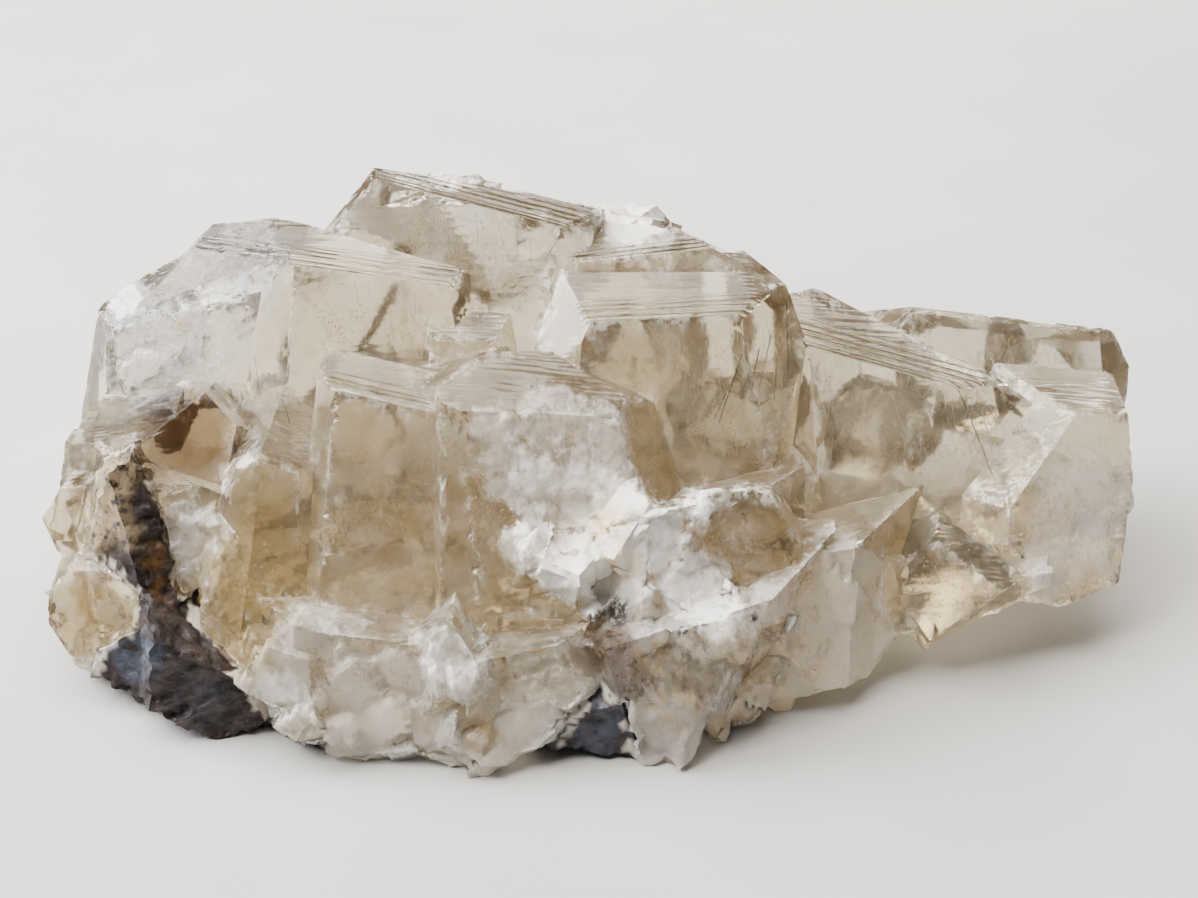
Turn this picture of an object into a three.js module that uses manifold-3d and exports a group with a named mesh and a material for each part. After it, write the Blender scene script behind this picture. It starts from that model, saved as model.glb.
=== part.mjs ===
// A hand-sized quartz specimen: smoky-clear crystals in near-parallel growth on a milky broken base,
// with a scrap of dark host rock at one end and under it. Millimetres, +Z up. The origin is under the
// middle of the specimen, on the surface that it rests on. +X runs along its length, -Y is its front.
import * as THREE from "three";
import { mergeVertices } from "three/addons/utils/BufferGeometryUtils.js";
import Module from "manifold-3d";

const wasm = await Module();
wasm.setup();

// The corners below are read in a tilted front view: u to the right and v up the view, both in mm at the
// view's middle, with "near" the distance that a face stands out towards the viewer from that middle.
const VIEW_ELEVATION = 32;
const VIEW_DISTANCE = 275;
const VIEW_HEIGHT = 31;

// Angles between neighbouring faces of quartz, and the sizes of its surface relief.
const PRISM_TO_HEAD_ANGLE = 38.2;
const HEAD_WIDTH_RATIO = 0.62;
const LEDGE_HEIGHT = 0.25;
const LEDGE_WIDTH = 0.55;
const LEDGE_PITCH = 0.95;

// Width of the seam between the quartz and the host rock.
const SEAM = 0.08;

// The right end is lifted clear of the resting surface: where its underside starts, and its rise.
const LIFT_START = 22;
const LIFT_ANGLE = 8.5;

// Each crystal is a block cut by its faces. The front face is set by a point, its turn to the right and its
// tilt up. Every other face is hinged on an edge of an earlier face and bent back from it by an angle:
// [name, hinged on, edge start, edge end, bend], with the edges taken clockwise. "rear" is the distance of
// the hidden back wall and its turn, and "ledges" gives the striated face and its number of growth ledges.
const CRYSTALS = {
  back_crown: {
    at: [-22.3, 29.8], near: -9, turn: -8, tilt: 6, block: [60, 60, 34], rear: [42, -6],
    folds: [
      ["top", "front", [-34, 40.6], [-5.8, 33.3], 38],
      ["back", "top", [-32.2, 41.7], [0.2, 36.4], 60],
      ["left", "front", [-39.8, 33.4], [-33.6, 40.2], 40],
      ["left_wall", "left", [-40.8, 33.4], [-34.8, 40.9], 45],
      ["right", "front", [-5.8, 33.3], [-8.8, 15.6], 38],
      ["right_wall", "right", [0.4, 35.6], [-5.8, 15.6], 50],
    ],
    ledges: ["top", 6],
  },
  left_shoulder: {
    at: [-34.4, 17.8], near: -4, turn: -2, tilt: 4, block: [60, 60, 34], rear: [37, -14],
    folds: [
      ["top", "front", [-44.8, 27.4], [-22.8, 24.4], 38],
      ["back", "top", [-43, 33.4], [-19.3, 26.6], 60],
      ["left", "front", [-46.9, 1.3], [-45.8, 27.8], 46],
      ["left_wall", "left", [-54.4, 2.8], [-50.6, 23.8], 50],
      ["left_top", "left", [-50.6, 23.8], [-42.2, 33.4], 40],
      ["right", "front", [-22.8, 24.4], [-21.2, 16.3], 50],
      ["bottom", "front", [-40.4, -1.6], [-53.8, 3.6], 40],
    ],
    ledges: ["top", 5],
  },
  keystone: {
    at: [-20.1, 14.1], near: -1, turn: 0, tilt: 2, block: [24, 20, 24],
    folds: [
      ["top", "front", [-25.3, 16.6], [-15.6, 16.3], 50],
      ["left", "front", [-25.6, 11.5], [-24.8, 17.1], 60],
      ["right", "front", [-15.6, 16.3], [-14.1, 10.4], 60],
    ],
  },
  front_ridge: {
    at: [-7.4, -4.6], near: 9.4, turn: 8, tilt: 3, block: [60, 60, 36],
    folds: [
      ["top", "front", [-21.6, 5.8], [0.9, 5], 42],
      ["top_left", "top", [-22, 11.2], [-16.3, 14.8], 30],
      ["top_back", "top", [-16.3, 14.8], [-8.1, 14.7], 45],
      ["top_right", "top", [-8.1, 14.7], [2, 9.2], 30],
      ["right", "front", [2, 6.6], [7.6, -10.6], 40],
      ["bottom", "front", [6.1, -28.6], [-11.8, -31.6], 50],
      ["left", "front", [-18.2, -22.6], [-20.6, 5.6], 20],
      ["left_wall", "left", [-23.8, -22.6], [-23.8, 7.4], 50],
    ],
  },
  front_left: {
    at: [-29.8, -7.6], near: 8, turn: -4, tilt: 3, block: [70, 70, 38],
    folds: [
      ["top", "front", [-40, 8.8], [-21.6, 4.6], 38],
      ["top_back", "top", [-37.6, 14.7], [-19.3, 10.4], 50],
      ["left", "front", [-41.6, -16.6], [-39.6, 9.2], 46],
      ["left_wall", "left", [-45.3, -16.6], [-42.2, 11.8], 45],
      ["left_top", "left", [-42.2, 11.8], [-37.6, 14.8], 35],
      ["bottom", "front", [-17.8, -30.4], [-37.4, -30.9], 55],
      ["bottom_left", "front", [-37.4, -30.9], [-45.2, -19.6], 50],
      ["bottom_right", "front", [-5.6, -22.3], [-9.6, -29.8], 50],
      ["right", "front", [-14.8, 2.8], [-5.8, -22.6], 14],
      ["right_wall", "right", [1, -0.2], [-0.4, -28.6], 50],
    ],
    ledges: ["top", 4],
  },
  centre_block: {
    at: [12.2, 7.4], near: 0, turn: 4, tilt: 3, block: [70, 64, 40], rear: [38, 6],
    folds: [
      ["top", "front", [-1.3, 19], [20.4, 20], 38],
      ["top_left", "top", [-1.3, 19], [-5.6, 26.6], 40],
      ["top_back", "top", [-4, 28], [24.9, 30.2], 55],
      ["left", "front", [-3.6, 4.4], [-2.2, 20.8], 35],
      ["left_wall", "left", [-9.2, 15.6], [-5.8, 27.2], 50],
      ["right", "front", [20.7, 20.6], [26.8, -4.6], 30],
      ["right_top", "right", [20.7, 20.8], [28, 25], 35],
      ["crest_cut", "right_top", [21.9, 29.7], [28, 24.8], 45],
      ["right_wall", "right", [28, 25], [31.4, 15.2], 50],
      ["right_low", "right", [31, 15.2], [25.6, -4.6], 40],
      ["bottom", "front", [24.2, -6.1], [6.1, -9.9], 50],
    ],
    ledges: ["top", 5],
  },
  centre_back: {
    at: [7.6, 26.1], near: -7, turn: 2, tilt: 5, block: [40, 50, 30], rear: [41, 10],
    folds: [
      ["top", "front", [-2.8, 27.9], [17.4, 30.2], 40],
      ["top_back", "top", [-0.2, 34.5], [11, 33.3], 50],
      ["right", "top", [11, 33.6], [17.6, 29.8], 45],
      ["left", "front", [-5.1, 17.8], [-2.8, 27.9], 50],
    ],
    ledges: ["top", 3],
  },
  right_block: {
    at: [40.6, 2.8], near: -5, turn: -8, tilt: 3, block: [110, 80, 36], rear: [33, 12],
    folds: [
      ["top", "front", [31.4, 15.3], [51.2, 9.8], 38],
      ["top_back", "top", [32.4, 24.2], [45.2, 17.7], 60],
      ["top_left", "top", [27.2, 23], [32.4, 24.2], 50],
      ["left", "front", [33.4, -10.6], [31.5, 15.3], 40],
      ["left_wall", "left", [27.2, -10.6], [27.9, 22.3], 40],
      ["right", "front", [51.2, 9.8], [45.2, -4.6], 18],
      ["right_top", "right", [45.9, 18.3], [69.1, 5.7], 45],
      ["right_wall", "right", [66.3, 6.6], [64.4, -6.1], 50],
      ["bottom", "front", [45.2, -16.6], [33.2, -13.6], 45],
      ["right_low", "right", [64.6, -6.1], [45.2, -18.2], 45],
    ],
    ledges: ["top", 6],
  },
  right_back: {
    at: [61.6, 11.8], near: -12, turn: 3, tilt: 2, block: [70, 50, 28], rear: [35, 14],
    folds: [
      ["top", "front", [47.4, 20.4], [77, 17.2], 38],
      ["top_back", "top", [46.9, 21.4], [77.1, 18], 60],
      ["left", "front", [44.8, 17.6], [47.6, 20.7], 50],
      ["right", "front", [75.1, 17.4], [75.8, 5.1], 35],
      ["right_top", "right", [77.1, 17.8], [79.6, 12.4], 45],
      ["right_wall", "right", [79.6, 12.4], [79, 5.6], 55],
      ["bottom", "front", [78.1, -3.2], [54.2, -3.2], 60],
    ],
  },
  right_end: {
    at: [71.4, -7.6], near: -3, turn: 10, tilt: -2, block: [50, 50, 24], rear: [23, 30],
    folds: [
      ["top", "front", [71.8, 5.2], [79, 5.2], 55],
      ["left", "front", [61.4, -9.4], [71.8, 5.6], 45],
      ["left_low", "front", [61.4, -14.4], [61.6, -9.2], 45],
      ["right", "front", [79.4, 5.2], [80.2, -4.6], 75],
      ["right_low", "front", [80.2, -4.6], [78.1, -19.6], 75],
      ["bottom", "front", [78.4, -20], [70.6, -23.2], 75],
      ["bottom_left", "front", [71, -23.2], [61.4, -14.4], 55],
    ],
  },
  glass_block: {
    at: [52.6, -21.2], near: 3, turn: -12, tilt: -8, block: [36, 36, 24],
    folds: [
      ["top", "front", [50.8, -14], [60.2, -21.2], 50],
      ["top_wall", "top", [54.4, -12], [63.8, -18.9], 45],
      ["left", "front", [44.8, -21.2], [51.2, -13.6], 55],
      ["left_low", "front", [49.6, -28.8], [44.6, -21.4], 60],
      ["bottom", "front", [60.4, -21.2], [49.6, -28.8], 70],
    ],
  },
  glass_foot: {
    at: [56.4, -26], near: 1, turn: 0, tilt: -18, block: [50, 34, 18],
    folds: [
      ["right", "front", [67.6, -18.2], [67, -23.2], 75],
      ["bottom_right", "front", [67, -23.2], [59.8, -24.8], 80],
      ["bottom", "front", [59.8, -24.8], [50.8, -30.4], 80],
      ["bottom_left", "front", [50.8, -30.4], [40.9, -32.8], 80],
      ["left", "front", [40.9, -32.8], [42.2, -21.2], 40],
      ["top", "front", [42.2, -22.6], [67.4, -18.8], 85],
    ],
  },
  left_block: {
    at: [-61.4, 13.4], near: -16, turn: -10, tilt: 4, block: [70, 60, 32], rear: [43, -22],
    folds: [
      ["top", "front", [-72.9, 17.8], [-51.2, 23.6], 34],
      ["top_back", "top", [-74.6, 21.9], [-59.8, 31.5], 50],
      ["top_far", "top", [-60.6, 31.4], [-46.4, 29.2], 50],
      ["left", "front", [-69.1, 1.3], [-72.9, 17.8], 45],
      ["left_wall", "left", [-77.8, 4.4], [-75.3, 20.1], 45],
      ["left_low", "left", [-72.6, -0.2], [-77.8, 3.6], 40],
      ["bottom", "front", [-53.8, -3.2], [-71.8, -0.9], 40],
      ["right", "front", [-50.6, 22.3], [-50.6, -1.6], 40],
    ],
  },
  left_back: {
    at: [-50.8, 26.8], near: -19, turn: -4, tilt: 4, block: [50, 40, 26], rear: [45, -12],
    folds: [
      ["top", "front", [-59.8, 30.2], [-47.8, 28.4], 40],
      ["top_back", "top", [-54.4, 36], [-42.2, 33.4], 60],
      ["top_left", "top", [-60.2, 30.9], [-56.7, 35.4], 50],
      ["top_crest", "top", [-56.7, 35.4], [-54.2, 36.2], 50],
    ],
    ledges: ["top", 4],
  },
  dark_pyramid: {
    at: [-61.4, 1.3], near: 1, turn: 6, tilt: 4, block: [36, 36, 20],
    folds: [
      ["left", "front", [-71.1, -0.9], [-59.1, 8.4], 80],
      ["right", "front", [-59, 8.4], [-54.4, 3.6], 80],
      ["right_wall", "front", [-54.4, 3.6], [-56.2, -5.6], 75],
      ["bottom", "front", [-56.2, -5.6], [-71.6, -0.9], 30],
      ["under", "bottom", [-56.2, -7.6], [-68.8, -6.9], 40],
    ],
  },
  pale_facet: {
    at: [-61.4, -15.2], near: 1, turn: 8, tilt: 0, block: [34, 50, 22],
    folds: [
      ["top", "front", [-67.6, -6.1], [-56, -5.4], 50],
      ["left", "front", [-61.4, -30.2], [-67.4, -6.9], 50],
      ["right", "front", [-56, -5.4], [-58.4, -30.2], 60],
      ["bottom", "front", [-58.4, -30.2], [-62.1, -28.6], 60],
    ],
  },
  amber_prism: {
    at: [-50.6, -18.2], near: 8, turn: 14, tilt: 2, block: [36, 60, 26],
    folds: [
      ["left", "front", [-54.4, -33.2], [-50.6, -2.2], 40],
      ["left_wall", "left", [-60.6, -28.6], [-56.6, -6.1], 50],
      ["left_top", "left", [-56.6, -6.1], [-51.2, -1.6], 40],
      ["top", "front", [-51.6, -1.8], [-44.8, -4], 40],
      ["right", "front", [-45, -4], [-45.4, -21.2], 40],
      ["bottom", "front", [-47.1, -34.6], [-54.6, -34.6], 60],
      ["bottom_left", "left", [-53.8, -34.9], [-61, -28.6], 70],
    ],
  },
  small_crystal: {
    at: [21.2, -15.2], near: 14, turn: 8, tilt: -4, block: [50, 44, 22],
    folds: [
      ["top", "front", [6.1, -10.4], [22.3, -6], 76],
      ["right_top", "front", [22.2, -5.8], [26, -7.2], 70],
      ["right", "front", [26, -7.2], [30.3, -14.8], 72],
      ["right_low", "front", [30.3, -14.8], [25.3, -23.4], 72],
      ["bottom", "front", [25.3, -23.4], [12.2, -28.6], 40],
      ["top_wall", "top", [6.1, -9], [22.6, -4.6], 60],
      ["left", "front", [6.1, -28.6], [7.6, -10], 40],
    ],
  },
  yellow_slab: {
    at: [13.6, -34.6], near: 17, turn: 4, tilt: -16, block: [44, 44, 22],
    folds: [
      ["right", "front", [25.3, -23.8], [14.4, -43.9], 60],
      ["bottom", "front", [14, -44.8], [6.1, -47.8], 75],
      ["left", "front", [6.9, -47.8], [2.8, -36.2], 50],
      ["top", "front", [0.2, -30.2], [25.6, -22.6], 82],
    ],
  },
  right_base: {
    at: [28.6, -27.2], near: 7, turn: -6, tilt: -12, block: [54, 54, 26],
    folds: [
      ["top", "front", [27.2, -17], [39.4, -14.4], 82],
      ["right", "front", [38.8, -14.4], [37.6, -36.2], 60],
      ["bottom", "front", [37.9, -35.8], [23.4, -38.8], 80],
      ["left", "front", [19.6, -38.4], [26.4, -21.2], 50],
    ],
  },
  right_toe: {
    at: [20.4, -39.4], near: 9, turn: 2, tilt: -14, block: [30, 26, 20],
    folds: [
      ["top", "front", [17, -36.2], [26.4, -34.9], 70],
      ["right", "front", [26.2, -36.2], [23.7, -41.8], 75],
      ["bottom", "front", [23.8, -41.8], [15.2, -45.2], 80],
      ["left", "front", [14.8, -44.8], [17.8, -36.2], 50],
    ],
  },
  right_base_end: {
    at: [40.4, -23.4], near: 3, turn: 10, tilt: -10, block: [44, 50, 24],
    folds: [
      ["top", "front", [36.2, -14.1], [43.9, -16.6], 82],
      ["right", "front", [43.9, -16.6], [45.9, -24.9], 45],
      ["right_low", "front", [45.9, -25.2], [40.6, -32.8], 75],
      ["bottom", "front", [40.6, -32.8], [37, -36.2], 80],
      ["left", "front", [36.4, -36.2], [37, -14.4], 40],
    ],
  },
  white_tooth: {
    at: [-47.8, -36.9], near: 17, turn: -10, tilt: -8, block: [24, 28, 20],
    folds: [
      ["top", "front", [-51.6, -30.4], [-43.6, -31.6], 80],
      ["right", "front", [-43.5, -31.6], [-42.8, -39.4], 55],
      ["right_low", "front", [-42.4, -39.4], [-45.4, -43.9], 75],
      ["left_low", "front", [-45.4, -43.9], [-52.8, -36.2], 75],
      ["left", "front", [-53, -35.8], [-51.4, -30.4], 60],
    ],
  },
  milky_slope: {
    at: [-33.6, -37.6], near: 16, turn: -4, tilt: -12, block: [50, 50, 26],
    folds: [
      ["bottom", "front", [-19.3, -48.9], [-30.6, -48.3], 80],
      ["bottom_left", "front", [-30.6, -48.3], [-44.8, -44.4], 80],
      ["left", "front", [-44.8, -44.4], [-45.4, -22.6], 50],
      ["right", "front", [-21.6, -28.6], [-17.1, -48.2], 50],
      ["top", "front", [-46.4, -26.8], [-20.8, -30.2], 85],
    ],
  },
  stub: {
    at: [-21.6, -31.6], near: 20, turn: 5, tilt: -2, block: [20, 24, 14],
    folds: [
      ["top_left", "front", [-25, -28.6], [-22, -26], 75],
      ["top_right", "front", [-22, -26], [-18.6, -31.6], 75],
      ["right", "front", [-18.6, -31.6], [-17.8, -36.2], 60],
      ["bottom", "front", [-17.8, -36.4], [-23.8, -37.4], 60],
      ["left", "front", [-24.2, -37.4], [-25.2, -28.6], 60],
    ],
  },
  clear_chunk: {
    at: [-11.8, -38.4], near: 18, turn: 6, tilt: -10, block: [34, 34, 20],
    folds: [
      ["top", "front", [-19.3, -32.2], [-6.1, -29.4], 82],
      ["right_top", "front", [-6.4, -29.4], [-1.6, -36.4], 45],
      ["right", "front", [-1.6, -36.4], [-8.1, -43.9], 60],
      ["bottom", "front", [-7.6, -44.4], [-14.8, -47.2], 80],
      ["bottom_left", "front", [-14.6, -47.2], [-22.3, -45.4], 80],
      ["left", "front", [-22, -45.2], [-19, -32.2], 50],
    ],
  },
  white_middle: {
    at: [6.1, -21.2], near: 12, turn: 4, tilt: 0, block: [50, 44, 22],
    folds: [
      ["top", "front", [-5.8, -15.2], [13.6, -10.6], 70],
      ["right", "front", [18.2, -16.6], [15.2, -31.6], 40],
      ["left", "front", [-8.1, -30.2], [-5.8, -13.6], 40],
      ["bottom", "front", [15.2, -36.2], [-5.8, -37.6], 40],
    ],
  },
  far_left_top: {
    at: [-76.4, -2.4], near: -3, turn: -20, tilt: 0, block: [24, 24, 16],
    folds: [
      ["top", "front", [-80.2, 1.2], [-72.6, 0.4], 55],
      ["left", "front", [-81.1, -6.4], [-80.1, 1.3], 75],
      ["right", "front", [-71.8, 0.4], [-72.1, -7.6], 40],
      ["bottom", "front", [-72.1, -8.4], [-81.1, -6.8], 40],
    ],
  },
  far_left_mid: {
    at: [-78.6, -11.4], near: 0, turn: -20, tilt: 4, block: [26, 28, 16],
    folds: [
      ["top", "front", [-80.8, -5.8], [-73.6, -6.1], 45],
      ["left_top", "front", [-83.6, -10.4], [-80.8, -5.8], 65],
      ["left_low", "front", [-81.4, -15.2], [-83.6, -10.4], 75],
      ["bottom", "front", [-76.4, -18.4], [-81.4, -15.2], 65],
      ["right", "front", [-73.6, -6.1], [-74.2, -16.6], 40],
    ],
  },
  far_left_low: {
    at: [-75.6, -24.9], near: 4, turn: -12, tilt: 2, block: [28, 28, 18],
    folds: [
      ["top_left", "front", [-82.5, -21.4], [-79.4, -18.2], 50],
      ["top", "front", [-79.4, -18.2], [-74.1, -18.4], 40],
      ["top_right", "front", [-74.1, -18.4], [-69.1, -21.4], 45],
      ["right", "front", [-69.1, -21.4], [-70.6, -29.4], 50],
      ["right_low", "front", [-71, -29.4], [-75.1, -32], 65],
      ["bottom", "front", [-75.1, -32], [-79.4, -31], 75],
      ["left_low", "front", [-79.4, -31], [-83, -25.6], 75],
      ["left", "front", [-83, -25.6], [-82.4, -21.2], 75],
    ],
  },
};

// Blocks of the dark host rock, in the same notation.
const HOST_BLOCKS = {
  blade: {
    at: [-67.4, -16.6], near: 5, turn: 28, tilt: 0, block: [44, 60, 16],
    folds: [
      ["top", "front", [-74, -4], [-70.2, -1.5], 84],
      ["right_top", "front", [-70.4, -1.6], [-67, -8.4], 65],
      ["right", "front", [-67, -8.4], [-61.4, -28.6], 65],
      ["left", "front", [-65.8, -31.6], [-73.6, -3.8], 60],
      ["left_wall", "left", [-73, -28.6], [-77, -15.2], 45],
      ["left_top", "left", [-77, -15.2], [-74, -4.4], 45],
      ["bottom", "front", [-57.8, -37.6], [-68.8, -36.2], 75],
    ],
  },
  foot: {
    at: [-59.1, -37.6], near: 11, turn: 8, tilt: -16, block: [40, 34, 18],
    folds: [
      ["top", "front", [-66.1, -28.6], [-57.8, -32.8], 80],
      ["top_right", "front", [-58.4, -32.2], [-52.6, -36.2], 45],
      ["right", "front", [-52.6, -36.2], [-50.2, -41.2], 60],
      ["bottom_right", "front", [-50.2, -41.2], [-56.6, -44.4], 80],
      ["bottom", "front", [-56.6, -44.4], [-67.4, -39.4], 80],
      ["left", "front", [-67.6, -39.4], [-67, -28.6], 75],
    ],
  },
  corner: {
    at: [-71.1, -32.4], near: 5, turn: -6, tilt: -6, block: [26, 30, 18],
    folds: [
      ["top", "front", [-75.4, -30.4], [-67.4, -26.4], 75],
      ["right", "front", [-65.6, -25.6], [-65.1, -39.2], 60],
      ["bottom", "front", [-65.1, -39.8], [-70.6, -37], 80],
      ["bottom_left", "front", [-70.4, -37.2], [-75.8, -33.9], 80],
      ["left", "front", [-75.8, -34.4], [-75.1, -30.2], 65],
    ],
  },
  rim: {
    at: [-1.3, -41.8], near: 15, turn: 0, tilt: -24, block: [40, 24, 20],
    folds: [
      ["top", "front", [-9.6, -40.9], [3.9, -38.2], 40],
      ["right", "front", [3.4, -38.2], [6.4, -46.6], 50],
      ["bottom", "front", [6.8, -46.4], [-8.8, -45.2], 80],
      ["left", "front", [-9.2, -45.4], [-8.8, -39.9], 50],
    ],
  },
};

// Rounded lumps of milky quartz that the crystals stand on: middle, radii, knob size, seed.
const MILKY_LUMPS = {
  core_left: [[-27, 12, 9], [46, 24, 18], 0.1, 1],
  core_right: [[36, 17, 18], [38, 16, 11], 0.1, 2],
  core_back: [[-6, 28, 13], [44, 13, 17], 0.14, 3],
};

// Angular shards of broken milky quartz: middle, half sizes, seed of the way they lie.
const MILKY_SHARDS = {
  crown_crumb: [[5.5, 37, 48], [7, 6, 5], 4],
  crown_crust: [[-25, 39, 54.5], [9, 3.5, 3.5], 5.2],
  middle_a: [[-5, -16, 20], [6, 7, 7], 6],
  middle_b: [[2, -19, 15], [8, 6, 6], 7],
  middle_c: [[10, -19, 17], [7, 6, 6], 8.4],
  middle_d: [[-9, -20, 13], [6, 6, 5], 2.3],
  middle_e: [[5, -14, 25], [6, 7, 6], 3.1],
  front_a: [[-37, -21, 6], [7, 7, 7], 9],
  front_b: [[-27, -25, 6], [7, 7, 7], 10.5],
  front_c: [[-15, -25, 6], [8, 7, 6], 11],
  front_d: [[-43, -19, 9], [6, 6, 6], 1.7],
  right_a: [[46, -4, 13], [7, 7, 5], 12],
  right_b: [[64, 2, 16], [7, 7, 5], 13.3],
  right_c: [[30, -10, 14], [7, 7, 6], 4.6],
  left_a: [[-74, 2, 16], [7, 8, 8], 14],
};

// Lumps of the host rock: a floor under the left half, in the same notation.
const HOST_LUMPS = {
  floor: [[-30, -6, 0], [43, 23, 6], 0.12, 21],
  floor_front: [[-4, -16, 0], [20, 13, 5], 0.12, 22],
};

// Crystals of the hidden back: root, heading and rise of the long axis, spin, width, length.
const BACK_CRYSTALS = {
  back_1: [[-52, 28, 20], 125, 25, 10, 26, 24],
  back_2: [[-27, 36, 24], 100, 30, 24, 28, 22],
  back_3: [[4, 36, 22], 86, 22, 5, 26, 23],
  back_4: [[32, 32, 22], 76, 16, 18, 24, 20],
  back_5: [[56, 28, 24], 62, 12, 2, 20, 18],
  back_6: [[-10, 36, 10], 98, 4, 16, 20, 18],
  back_7: [[-68, 14, 14], 160, 14, 8, 20, 18],
  back_8: [[18, 33, 12], 80, 0, 28, 18, 18],
  back_9: [[-38, 34, 10], 112, 2, 20, 19, 18],
  back_10: [[44, 27, 15], 70, -2, 12, 16, 18],
  back_11: [[73, 18, 24], 30, 8, 14, 15, 14],
  back_12: [[70, 27, 23], 80, 10, 22, 15, 15],
  back_13: [[18, 36, 30], 96, 40, 8, 18, 15],
};

const radians = THREE.MathUtils.degToRad;
const eye = new THREE.Vector3(0, 0, VIEW_DISTANCE);
const viewToWorld = new THREE.Matrix4()
  .makeTranslation(0, 0, VIEW_HEIGHT)
  .multiply(new THREE.Matrix4().makeRotationX(radians(90 - VIEW_ELEVATION)));

// A closed solid from a geometry's triangles.
function solidFrom(geometry) {
  const loose = geometry.index ? geometry.toNonIndexed() : geometry.clone();
  loose.deleteAttribute("normal");
  loose.deleteAttribute("uv");
  const merged = mergeVertices(loose, 1e-4);
  return new wasm.Manifold(
    new wasm.Mesh({
      numProp: 3,
      vertProperties: new Float32Array(merged.attributes.position.array),
      triVerts: new Uint32Array(merged.index.array),
    })
  );
}

// The half of a solid that lies behind a plane.
function cutBehind(solid, plane) {
  const { x, y, z } = plane.normal;
  return solid.trimByPlane([-x, -y, -z], plane.constant);
}

// The point of a plane that is seen at u, v.
function pointSeen([u, v], plane) {
  const ray = new THREE.Ray(eye, new THREE.Vector3(u, v, -VIEW_DISTANCE).normalize());
  return ray.intersectPlane(plane, new THREE.Vector3());
}

// A direction from its turn to the right and its tilt up, seen from the front.
function facing(turn, tilt) {
  const level = Math.cos(radians(tilt));
  return new THREE.Vector3(
    Math.sin(radians(turn)) * level,
    Math.sin(radians(tilt)),
    Math.cos(radians(turn)) * level
  );
}

// The faces of a crystal, as planes with the edge that each is hinged on.
function facesOf(spec) {
  const scale = (VIEW_DISTANCE - spec.near) / VIEW_DISTANCE;
  const middle = new THREE.Vector3(spec.at[0] * scale, spec.at[1] * scale, spec.near);
  const front = new THREE.Plane().setFromNormalAndCoplanarPoint(facing(spec.turn, spec.tilt), middle);
  const faces = { front: { plane: front, start: middle } };
  for (const [name, on, from, to, bend] of spec.folds) {
    const base = faces[on].plane;
    const start = pointSeen(from, base);
    const along = pointSeen(to, base).sub(start).normalize();
    const outward = base.normal.clone().cross(along);
    const normal = base.normal
      .clone()
      .multiplyScalar(Math.cos(radians(bend)))
      .addScaledVector(outward, Math.sin(radians(bend)));
    const plane = new THREE.Plane().setFromNormalAndCoplanarPoint(normal, start);
    faces[name] = { plane, start, along };
  }
  return { faces, middle };
}

// A crystal in the view, with all its faces moved out by "swell".
function crystalInView(spec, swell) {
  const { faces, middle } = facesOf(spec);
  const [width, height, depth] = spec.block;
  const block = new THREE.BoxGeometry(width + 2 * swell, height + 2 * swell, depth + 2 * swell);
  block.translate(middle.x, middle.y, middle.z + 6 - depth / 2);
  let solid = solidFrom(block);
  for (const { plane } of Object.values(faces)) {
    const moved = plane.clone();
    moved.constant -= swell;
    solid = cutBehind(solid, moved);
  }
  return solid;
}

// Growth ledges across a striated face: strips of the swollen crystal, parallel to the face's hinge.
function ledgesInView(spec) {
  const [name, count] = spec.ledges;
  const { plane, start, along } = facesOf(spec).faces[name];
  const across = plane.normal.clone().cross(along);
  const swollen = crystalInView(spec, LEDGE_HEIGHT);
  const strips = [];
  for (let i = 0; i < count; i += 1) {
    const offset = LEDGE_PITCH * (i + 0.7 + 0.3 * Math.sin(5 * i + count));
    const width = LEDGE_WIDTH * (1 + 0.5 * Math.sin(3 * i + 2 * count));
    const strip = new THREE.BoxGeometry(300, width, 1);
    strip.applyMatrix4(new THREE.Matrix4().makeBasis(along, across, plane.normal));
    const place = start.clone().addScaledVector(across, offset);
    strip.translate(place.x, place.y, place.z);
    strips.push(swollen.intersect(solidFrom(strip)));
  }
  return strips;
}

// The same crystal with its hidden back wall, turned into the world.
function crystalInWorld(spec, swell) {
  let solid = crystalInView(spec, swell);
  if (spec.ledges && swell === 0) {
    solid = wasm.Manifold.union([solid, ...ledgesInView(spec)]);
  }
  solid = solid.transform(viewToWorld.elements);
  if (spec.rear) {
    const [distance, turn] = spec.rear;
    const normal = new THREE.Vector3(Math.sin(radians(turn)), Math.cos(radians(turn)), 0.12).normalize();
    const point = new THREE.Vector3(spec.at[0], distance, VIEW_HEIGHT);
    solid = cutBehind(solid, new THREE.Plane().setFromNormalAndCoplanarPoint(normal, point));
  }
  return solid;
}

// A knobbly lump, with its surface moved out by "swell".
function lump([middle, radii, knob, seed], swell) {
  const geometry = new THREE.IcosahedronGeometry(1, 7);
  const position = geometry.attributes.position;
  const spot = new THREE.Vector3();
  for (let i = 0; i < position.count; i += 1) {
    spot.fromBufferAttribute(position, i);
    const broad = Math.sin(3.1 * spot.x + seed) * Math.sin(2.7 * spot.y + 2 * seed + 1.5 * spot.z);
    const wavy = Math.sin(8.3 * spot.x + 4 * seed + 3 * spot.z);
    const fine = wavy * Math.sin(7.1 * spot.y - 5.3 * spot.z + seed);
    const stretch = 1 + knob * (broad + 0.6 * fine);
    spot.multiplyScalar(stretch + swell / Math.min(...radii));
    position.setXYZ(i, spot.x, spot.y, spot.z);
  }
  geometry.scale(...radii);
  geometry.translate(...middle);
  return solidFrom(geometry);
}

// A broken shard: two turned blocks that share their middle.
function shard([middle, sizes, seed]) {
  const blocks = [0, 1].map((step) => {
    const block = new THREE.BoxGeometry(1.5, 1.5, 1.5);
    block.rotateX(seed * 1.3 + step);
    block.rotateY(seed * 2.1 + 2 * step);
    block.rotateZ(seed * 0.7 + 1.4 * step);
    block.scale(...sizes);
    block.translate(...middle);
    return solidFrom(block);
  });
  return wasm.Manifold.union(blocks);
}

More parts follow.
